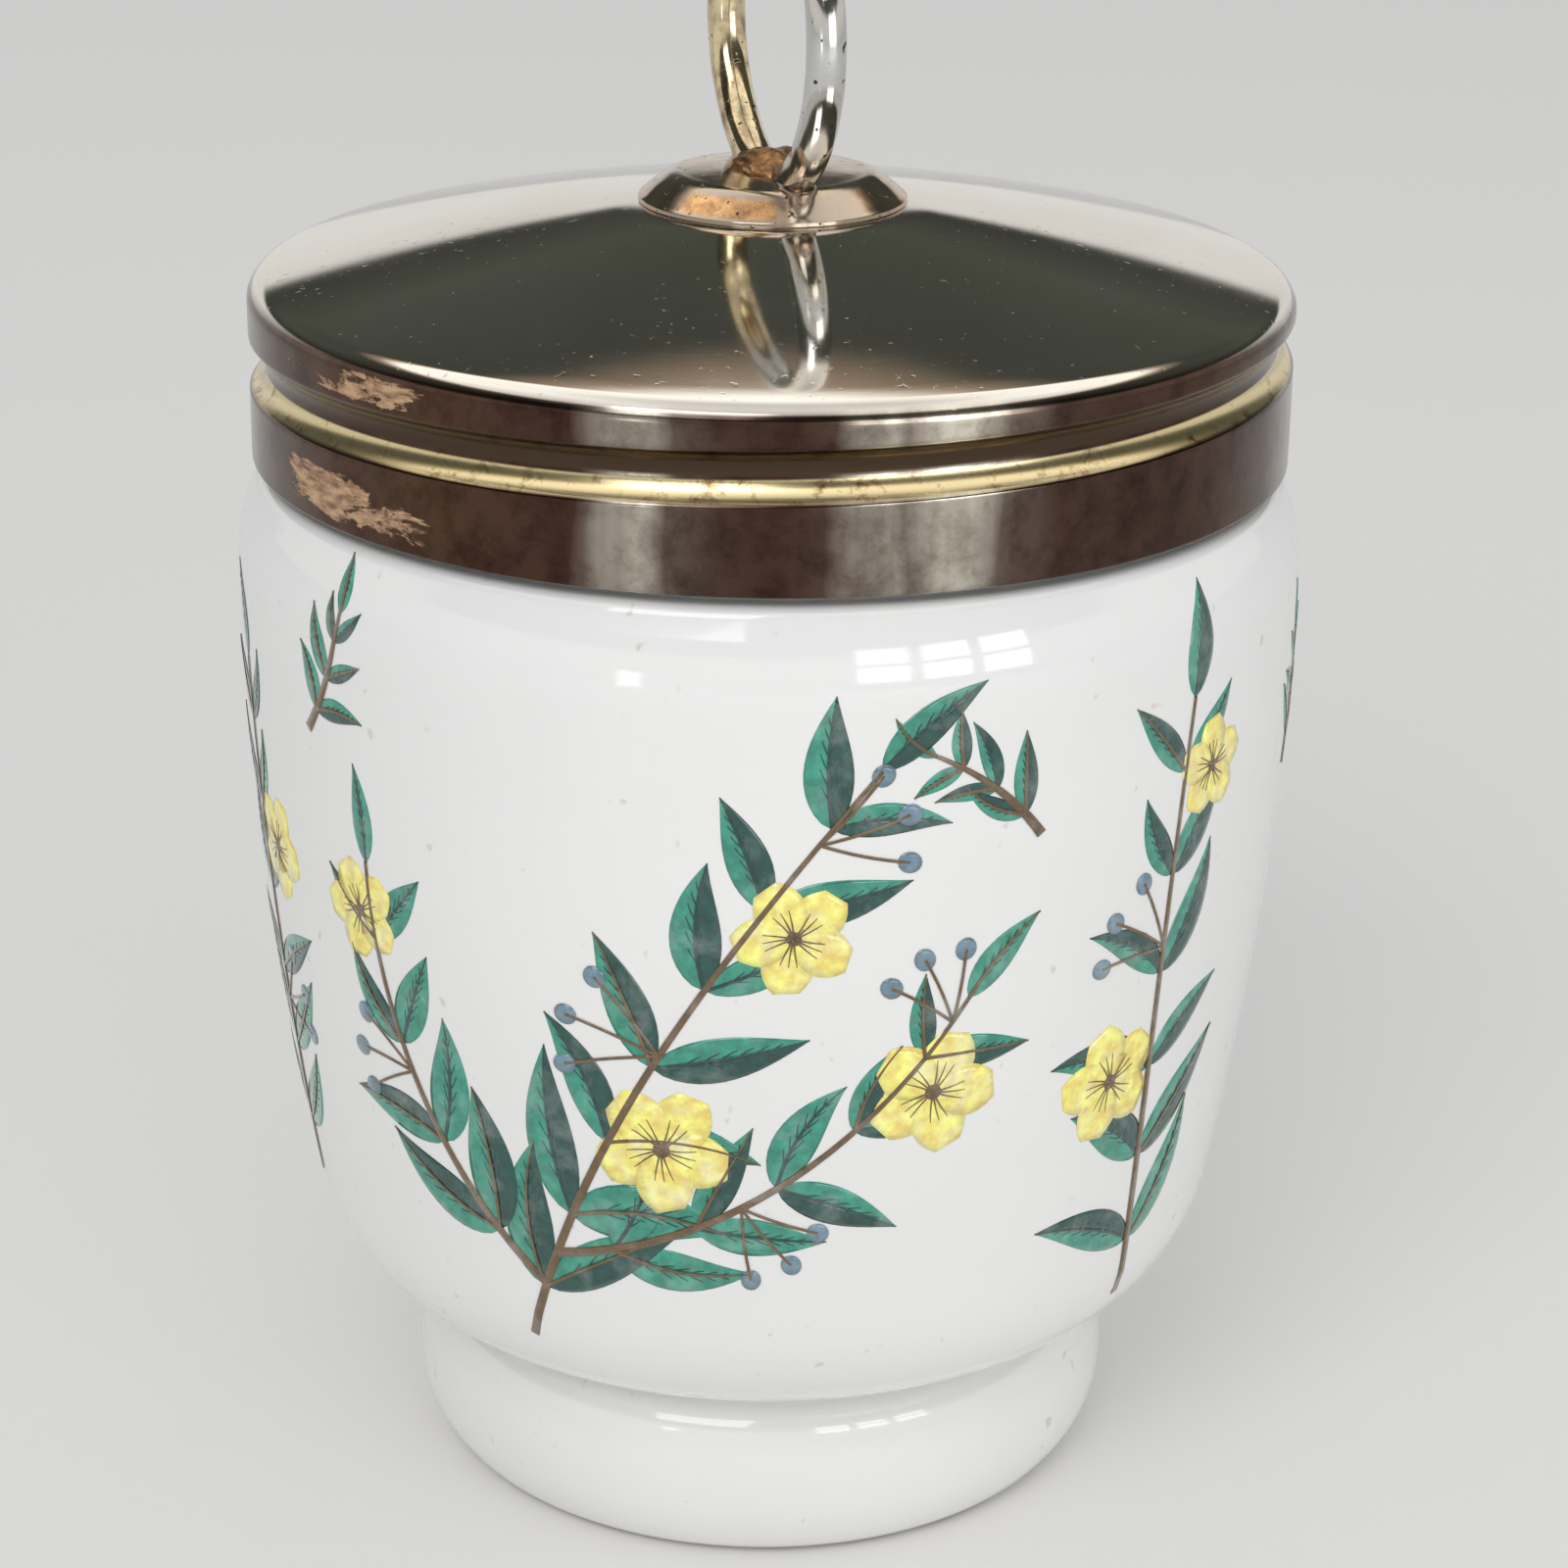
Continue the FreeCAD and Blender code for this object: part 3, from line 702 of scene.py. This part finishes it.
class Spray:
    """Brush marks of one print, kept by ink. Lengths are in metres and headings in radians."""

    def __init__(self, seed):
        self.marks = {ink: [] for ink in INKS}
        self.random = random.Random(seed)

    def leaf(self, start, heading, length):
        """A leaf of two halves, with its vein and side veins."""
        draw = self.random
        wide, bend = length * draw.uniform(0.27, 0.38), draw.uniform(-0.8, 0.8)
        light, dark, vein = leaf_shape(start, heading, length, wide, bend)
        self.marks["leaf"].append(light)
        self.marks["leaf_dark" if draw.random() < 0.65 else "leaf"].append(dark)
        self.marks["stem" if draw.random() < 0.4 else "vein"].append(vein)
        path = bent_path(start, heading, length, bend)
        for k in range(2, 8):
            for side in (1, -1):
                lean = heading + bend * k / 10 + side * 0.55
                reach = wide * 0.42 * leaf_swell(k / 9)
                line = bent_path(path(k / 9), lean, reach, -side * 0.3)
                self.marks["vein"].append(stroke(line, thinning(0.10, 0.05), 4, 1))

    def blossom(self, centre, radius):
        """Five petals with three fine lines each, round a dark eye."""
        def petal_width(t):
            return radius * 0.88 * math.sin(math.pi * min(t * 0.80 + 0.06, 1)) ** 0.8

        turned, petals = self.random.uniform(0, 2), 5
        for k in range(petals):
            heading = turned + 2 * math.pi * k / petals
            path = bent_path(centre, heading, radius, 0.3)
            self.marks["petal"].append(stroke(path, petal_width, 8))
            for lean in (-0.28, 0, 0.28):
                line = bent_path(centre, heading + lean, radius * 0.52, 0.2)
                self.marks["stem"].append(stroke(line, thinning(0.12, 0.08), 5, 1))
        self.marks["stem"].append(disc(centre, radius * 0.13))

    def berries(self, start, heading, length):
        """Three berries on thin stalks that part."""
        for k in (-1, 0, 1):
            lean = heading + k * 0.55
            path = bent_path(start, lean, length, 0.2)
            self.marks["stem"].append(stroke(path, thinning(0.16, 0), 8, 2))
            self.marks["berry"].append(disc(path(1.0), 0.62 * MM, 0.9, lean))

    def branch(self, start, heading, length, bend, pairs, leaf_length):
        """A stem with leaves on both sides, smaller towards its tip."""
        path = bent_path(start, heading, length, bend)
        self.marks["stem"].append(stroke(path, thinning(0.55, 0.35), 24, 2))
        for k in range(pairs):
            t = (k + 0.7) / (pairs + 0.4)
            for side in (1, -1):
                lean = heading + bend * t + side * self.random.uniform(0.6, 0.95)
                size_here = leaf_length * (1.1 - 0.5 * t)
                self.leaf(path(t), lean, size_here * self.random.uniform(0.85, 1.1))
        self.leaf(path(1.0), heading + bend, leaf_length * 0.7)
        return path


def draw_sprays(spray):
    """The print: sprays that rise from low on the cup at the front and sides, and one behind."""
    def at(across, level):
        return Vector((across * MM, level * MM))

    main = spray.branch(at(-14, 15.5), 1.22, 39 * MM, -0.35, 7, 9.5 * MM)
    side = spray.branch(main(0.16), 0.18, 27 * MM, 0.85, 5, 8.0 * MM)
    low = spray.branch(main(0.10), 2.45, 24 * MM, -0.9, 4, 7.5 * MM)
    right = spray.branch(at(25, 15), 1.75, 35 * MM, -0.30, 6, 8.5 * MM)
    left = spray.branch(at(-36, 18), 1.45, 30 * MM, 0.25, 6, 7.5 * MM)
    for path, t, radius, over in (
            (main, 0.34, 3.6, 3.4), (main, 0.70, 3.0, 3.0), (side, 0.74, 3.4, 3.0),
            (low, 0.86, 2.7, -1.0), (right, 0.40, 3.3, -3.2), (right, 0.86, 2.6, 2.4),
            (left, 0.66, 2.9, 2.6)):
        spray.blossom(path(t) + at(over, 0.8), radius * MM)
    for path, t, heading, reach in (
            (main, 0.52, 2.7, 5.2), (main, 0.88, 0.2, 4.6), (side, 0.42, -1.0, 4.4),
            (low, 0.55, 3.0, 4.2), (right, 0.62, 2.5, 4.6), (left, 0.36, 0.3, 4.2),
            (side, 0.95, 1.9, 4.0)):
        spray.berries(path(t), heading, reach * MM)
    for across, level, heading in ((14, 45, 2.2), (-27, 47, 0.9), (38, 42, 1.2)):
        spray.branch(at(across, level), heading, 7.5 * MM, 0.5, 3, 4.2 * MM)
    back = math.pi * PRINT_ROUND
    rear = spray.branch(at(back - 10, 18), 1.0, 32 * MM, 0.4, 6, 7.8 * MM)
    spray.blossom(rear(0.72) + at(3, 0), 3.2 * MM)
    spray.berries(rear(0.4), 0.3, 4.6 * MM)
    spray.branch(at(back + 12, 22), 1.9, 14 * MM, -0.5, 3, 5.5 * MM)


class CODDLER_OT_print(bpy.types.Operator):
    """Printed leaf sprays, blossoms and berries, laid on the glaze"""
    bl_idname = "coddler.print"
    bl_label = "Print"

    def execute(self, context):
        cup, inks = context.scene.coddler_cup, context.scene.coddler_print
        profile = cup_outline(cup)
        spray = Spray(inks.seed)
        draw_sprays(spray)
        for layer, ink in enumerate(INKS):
            verts, faces = [], []
            for number, (spots, quads) in enumerate(spray.marks[ink]):
                # Marks that cross lie at different heights, so that none cuts into another.
                lift = inks.lift * (0.4 + 0.2 * layer + 0.04 * (number % 4))
                base = len(verts)
                verts += [on_cup(profile, spot.x, spot.y, lift) for spot in spots]
                faces += [tuple(base + k for k in quad) for quad in quads]
            mesh = bpy.data.meshes.new(f"print_{ink}")
            mesh.from_pydata(verts, [], faces)
            piece = new_object(f"print_{ink}", mesh)
            wash = 0.55 if ink == "petal" else 0.2
            mesh.materials.append(print_ink(f"ink_{ink}", getattr(inks, ink), cup.glaze, wash))
            film = piece.modifiers.new("film", "SOLIDIFY")
            film.thickness = inks.lift
            film.offset = -1
            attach(piece, "cup_body")
        return {"FINISHED"}


def lid_outline(lid):
    """Closed profile of the pressed lid, from the shank hole out under the crown and back over."""
    gauge, roll, lip = lid.gauge, 1.2 * MM, 0.22 * MM
    flat, bend = 7.3 * MM, 170 * MM
    slope = math.radians(14)
    middle = (lid.radius - roll, 65.9 * MM)
    edge = (middle[0] + roll * math.sin(slope), middle[1] + roll * math.cos(slope))
    return outline((
        (SHANK_HOLE, CROWN_SEAT - gauge, None),
        (flat, CROWN_SEAT - gauge, -(bend - gauge)),
        (edge[0] - gauge * math.sin(slope), edge[1] - gauge * math.cos(slope), -(roll - gauge)),
        (lid.radius - gauge, middle[1], None),
        (lid.radius - gauge, lid.skirt_foot + lip, lip),
        (lid.radius - gauge + lip, lid.skirt_foot, None),
        (lid.radius - lip, lid.skirt_foot, lip),
        (lid.radius, lid.skirt_foot + lip, None),
        (lid.radius, middle[1], roll),
        (edge[0], edge[1], bend),
        (flat, CROWN_SEAT, None),
        (SHANK_HOLE, CROWN_SEAT, None),
    ))


class CODDLER_OT_lid(bpy.types.Operator):
    """Pressed lid with its rolled thread, plating worn to brass in the groove, and painted shade
    in the groove's upper half
    """
    bl_idname = "coddler.lid"
    bl_label = "Lid"

    def execute(self, context):
        lid = context.scene.coddler_lid
        rolled_from, rolled_over = lid.radius - 2.4 * MM, 1.2 * MM
        skirt_from = lid.radius - 1.6 * MM
        full_mark_depth, lip_below, lip_over = 0.9 * MM, 0.25 * MM, 0.35 * MM

        def push(radius, level, angle):
            if radius < rolled_from:
                return 0
            return -groove_depth(lid, level, angle) * fade(radius - rolled_from, rolled_over)

        # Positive below the groove's middle gives the brass lip. Negative above it gives the
        # painted shade in the groove's upper half.
        def wear_and_painted_light(level, angle, depth):
            below = (helix_level(lid, angle) - lip_below - level) / lip_over
            return depth / full_mark_depth * min(max(below, -1), 1)

        points = refine(lid_outline(lid), lambda radius: radius > skirt_from, SKIRT_ROW)
        shell = turn("lid_shell_plated", points, LID_ROUND, push, True, wear_and_painted_light)
        shell.data.materials.append(worn_plating(lid))
        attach(shell, "lid_body")
        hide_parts("lid_shell")
        return {"FINISHED"}


class CODDLER_OT_boss(bpy.types.Operator):
    """Boss on the crown, its rivet shank and the rove inside, with a painted orange-gold
    reflection on the boss's side towards the front
    """
    bl_idname = "coddler.boss"
    bl_label = "Boss and rove"

    def execute(self, context):
        lid, ring = context.scene.coddler_lid, context.scene.coddler_ring
        seat, shank, bevel = CROWN_SEAT, 2 * MM, 0.08 * MM
        rove = seat - lid.gauge - 0.8 * MM
        top = seat + 1.55 * MM
        points = outline((
            (0, rove - 0.9 * MM, 6.2 * MM),
            (3.05 * MM, rove - 0.06 * MM, 0.06 * MM),
            (3.0 * MM, rove, None),
            (shank, rove, None),
            (shank, seat, None),
            (ring.boss_foot - bevel, seat, bevel),
            (ring.boss_foot, seat + bevel, None),
            (ring.boss_foot, seat + 0.2 * MM, 0.1 * MM),
            (ring.boss_foot - 0.05 * MM, seat + 0.3 * MM, 7 * MM),
            (ring.boss_top + 0.12 * MM, top - 0.32 * MM, 1.6 * MM),
            (ring.boss_top - 0.9 * MM, top + 0.02 * MM, 50 * MM),
            (0, top + 0.25 * MM, None),
        ))

        # Painted reflection: between these angles from the front, the boss's side is coloured
        # orange-gold as a reflection.
        painted_sheen_first, painted_sheen_last = -52, 6  # degrees from the front

        def wear_and_painted_light(level, angle, depth):
            turned = math.degrees(wrap(angle - FRONT))
            side = fade(turned - painted_sheen_first, 14) * fade(painted_sheen_last - turned, 8)
            lower = fade(level - seat - 0.3 * MM, 0.2 * MM)
            return side * lower * fade(top - 0.2 * MM - level, 0.3 * MM)

        boss = turn("ring_boss_turned", densify(points, 0.3 * MM), BOSS_ROUND, mark=wear_and_painted_light)
        # The last colour serves both as the brass of the random stains and as the painted
        # orange-gold reflection.
        boss.data.materials.append(fitting_metal("boss_plating", (0.44, 0.37, 0.30), 0.42,
                                                 (0.80, 0.47, 0.23)))
        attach(boss, "lid_body")
        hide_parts("ring_boss")
        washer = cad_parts["rove"]
        washer.data.materials.clear()
        washer.data.materials.append(dull_metal("rove_brass", (0.34, 0.25, 0.11),
                                                (0.60, 0.48, 0.26), 0.42))
        return {"FINISHED"}


class CODDLER_OT_ring(bpy.types.Operator):
    """Wire lifting ring with a few knocks, one limb worn to the brass"""
    bl_idname = "coddler.ring"
    bl_label = "Lifting ring"

    def execute(self, context):
        lid, ring = context.scene.coddler_lid, context.scene.coddler_ring
        low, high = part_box("lifting_ring")
        middle = Vector((0, 0, (low.z + high.z) / 2))
        steps, sides, gap = 220, 28, math.radians(3)
        uneven, ripples, knock_side = 0.012, 40, 0.6
        worn_from, worn_over, worn = -1 * MM, 5 * MM, 0.8
        verts, faces, marks = [], [], []
        for i in range(steps):
            share = i / (steps - 1)
            angle = -math.pi / 2 + gap / 2 + share * (2 * math.pi - gap)
            centre = Vector((0, math.cos(angle), math.sin(angle))) * ring.ring_radius
            out = centre.normalized()
            knock = sum(deep * math.exp(-((share - at) / wide) ** 2) for at, wide, deep in KNOCKS)
            for k in range(sides):
                turned = 2 * math.pi * k / sides
                side = out * math.cos(turned) + Vector((1, 0, 0)) * math.sin(turned)
                spot = Vector((share * ripples, math.cos(turned), math.sin(turned)))
                knocked = knock * max(0, -math.cos(turned - knock_side))
                reach = ring.wire_radius * (1 - knocked - uneven + noise.noise(spot) * uneven)
                verts.append(centre + side * reach + middle)
                marks.append(fade(centre.y - worn_from, worn_over) * worn)
        for i in range(steps - 1):
            for k in range(sides):
                after = (k + 1) % sides
                faces.append((i * sides + k, i * sides + after, (i + 1) * sides + after,
                              (i + 1) * sides + k))
        faces.append(tuple(range(sides)))
        faces.append(tuple(reversed(range((steps - 1) * sides, steps * sides))))
        mesh = bpy.data.meshes.new("lifting_ring_wire")
        mesh.from_pydata(verts, [], faces)
        keep_wear_and_painted_light(mesh, marks)
        settle(mesh)
        wire = new_object("lifting_ring_wire", mesh)
        mesh.materials.append(fitting_metal("wire_plating", (0.60, 0.60, 0.59), 0.25, lid.brass))
        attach(wire, "lid_body")
        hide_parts("lifting_ring")
        return {"FINISHED"}


class CODDLER_OT_braze(bpy.types.Operator):
    """Uneven braze round the foot of the ring"""
    bl_idname = "coddler.braze"
    bl_label = "Braze"

    def execute(self, context):
        _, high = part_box("braze")
        middle = Vector((0, 0, 72.15 * MM))
        reach = Vector((high.x, high.y, (high.z - middle.z) * 0.86))
        shape = bmesh.new()
        bmesh.ops.create_icosphere(shape, subdivisions=5, radius=1)
        for vert in shape.verts:
            lumps = 0.14 * noise.noise(vert.co * 2.1) + 0.05 * noise.noise(vert.co * 6)
            spread = 1.0 if vert.co.z > 0 else 0.9
            stretched = Vector((vert.co.x * reach.x * spread, vert.co.y * reach.y * spread,
                                vert.co.z * reach.z))
            vert.co = middle + stretched * (0.98 + lumps)
        mesh = bpy.data.meshes.new("braze_bead")
        shape.to_mesh(mesh)
        shape.free()
        bead = new_object("braze_bead", mesh)
        mesh.materials.append(dull_metal("braze_metal", (0.09, 0.045, 0.025), (0.56, 0.30, 0.13),
                                         0.34))
        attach(bead, "lid_body")
        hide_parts("braze")
        return {"FINISHED"}


def soft_box(name, spot, aim, power, wide, high):
    """A soft area light that points at aim."""
    lamp = bpy.data.lights.new(name, "AREA")
    lamp.shape = "RECTANGLE"
    lamp.size, lamp.size_y = wide, high
    lamp.energy = power
    thing = bpy.data.objects.new(name, lamp)
    bpy.context.scene.collection.objects.link(thing)
    thing.location = spot
    thing.rotation_mode = "QUATERNION"
    thing.rotation_quaternion = (Vector(aim) - Vector(spot)).to_track_quat("-Z", "Y")


def studio_world(strength):
    """Plain dome: pale at the level of the eye, darker overhead, as a soft-lit room is."""
    world = bpy.data.worlds.new("studio")
    bpy.context.scene.world = world
    world.use_nodes = True
    tree = world.node_tree
    tree.nodes.clear()
    way = add(tree, "ShaderNodeTexCoord").outputs["Generated"]
    height = add(tree, "ShaderNodeSeparateXYZ", {0: way}).outputs["Z"]
    path = add(tree, "ShaderNodeLightPath").outputs
    direct = maths(tree, "MAXIMUM", path["Is Camera Ray"], maths(
        tree, "MAXIMUM", path["Is Glossy Ray"], path["Is Transmission Ray"]))
    lit = add(tree, "ShaderNodeBackground", {"Color": (0.97, 0.98, 1.0, 1),
                                             "Strength": strength})
    shown = add(tree, "ShaderNodeBackground", {"Color": stops(tree, height, DOME),
                                               "Strength": 1.0})
    both = add(tree, "ShaderNodeMixShader", {0: direct, 1: lit.outputs[0], 2: shown.outputs[0]})
    add(tree, "ShaderNodeOutputWorld", {"Surface": both.outputs[0]})


def photo_camera(stage):
    """Camera at the photograph's place, looking down on the cup and very slightly rolled."""
    down, roll, about = math.radians(20.706), math.radians(0.632), math.radians(-19)
    seat = Vector((0.056, -202.73, 114.60)) * MM
    sensor, shift, nearest, furthest = 36, 0.0106, 0.01, 20
    ahead = Vector((0, math.cos(down), -math.sin(down)))
    right = Vector((1, 0, 0))
    up = right.cross(ahead)
    leaned = right * math.cos(roll) + up * math.sin(roll)
    raised = up * math.cos(roll) - right * math.sin(roll)
    turned = Matrix.Rotation(about, 4, "Z")
    facing = Matrix((leaned, raised, -ahead)).transposed().to_4x4()
    data = bpy.data.cameras.new("camera")
    data.lens, data.sensor_width, data.shift_x = stage.lens, sensor, shift
    data.clip_start, data.clip_end = nearest, furthest
    camera = bpy.data.objects.new("camera", data)
    bpy.context.scene.collection.objects.link(camera)
    camera.matrix_world = turned @ Matrix.Translation(seat) @ facing
    bpy.context.scene.camera = camera


class CODDLER_OT_stage(bpy.types.Operator):
    """Pale floor, soft lights and the camera"""
    bl_idname = "coddler.stage"
    bl_label = "Stage"

    def execute(self, context):
        stage = context.scene.coddler_stage
        far, aim = 3.0, Vector((0, 0, 0.045))
        mesh = bpy.data.meshes.new("floor")
        mesh.from_pydata([(-far, -far, 0), (far, -far, 0), (far, far, 0), (-far, far, 0)], [],
                         [(0, 1, 2, 3)])
        floor = new_object("floor", mesh)
        material, tree, shader = tree_of("floor_paper")
        feed(tree, shader, {"Base Color": (*stage.floor, 1), "Roughness": 0.7,
                            "Specular IOR Level": 0.2})
        mesh.materials.append(material)
        studio_world(stage.dome)
        key, key_side = (-0.50, -0.62, 0.66), 0.5
        soft_box("key", key, aim, stage.key_power, key_side, key_side)
        first, apart, distance = -86, 13, 0.6
        sill, row_rise, pane_wide, pane_high = 0.075, 0.17, 0.11, 0.085
        for row in range(2):
            for pane in range(3):
                turned = math.radians(first + pane * apart)
                way = Vector((math.cos(turned), math.sin(turned), sill + row * row_rise))
                soft_box(f"pane_{row}_{pane}", aim + way * distance, aim, stage.window_power,
                         pane_wide, pane_high)
        low_left, low_power = aim + Vector((-0.42, -0.40, 0.0)), 0.04
        soft_box("low_left", low_left, aim, low_power, 0.05, 0.08)
        photo_camera(stage)
        context.scene.view_settings.view_transform = "Standard"
        return {"FINISHED"}


class CODDLER_PT_panel(bpy.types.Panel):
    """The coddler's operators, in the order they run"""
    bl_idname = "CODDLER_PT_panel"
    bl_label = "Egg Coddler"
    bl_space_type = "VIEW_3D"
    bl_region_type = "UI"
    bl_category = "Coddler"

    def draw(self, context):
        for operator in OPERATORS:
            self.layout.operator(operator.bl_idname)
        for name in GROUPS:
            group = getattr(context.scene, name)
            box = self.layout.box()
            for key in group.__annotations__:
                box.prop(group, key)


GROUPS = {
    "coddler_cup": CoddlerCup,
    "coddler_lid": CoddlerLid,
    "coddler_ring": CoddlerRing,
    "coddler_print": CoddlerPrint,
    "coddler_stage": CoddlerStage,
}
OPERATORS = (CODDLER_OT_cup, CODDLER_OT_print, CODDLER_OT_lid, CODDLER_OT_boss, CODDLER_OT_ring,
             CODDLER_OT_braze, CODDLER_OT_stage)


def register():
    """Register the classes and hang the property groups on the scene."""
    for kind in (*GROUPS.values(), *OPERATORS, CODDLER_PT_panel):
        bpy.utils.register_class(kind)
    for name, kind in GROUPS.items():
        setattr(bpy.types.Scene, name, PointerProperty(type=kind))


def unregister():
    """Undo register."""
    for name in GROUPS:
        delattr(bpy.types.Scene, name)
    for kind in reversed((*GROUPS.values(), *OPERATORS, CODDLER_PT_panel)):
        bpy.utils.unregister_class(kind)


def main():
    register()
    for operator in OPERATORS:
        category, name = operator.bl_idname.split(".")
        getattr(getattr(bpy.ops, category), name)()
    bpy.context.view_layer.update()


if __name__ == "__main__":
    main()
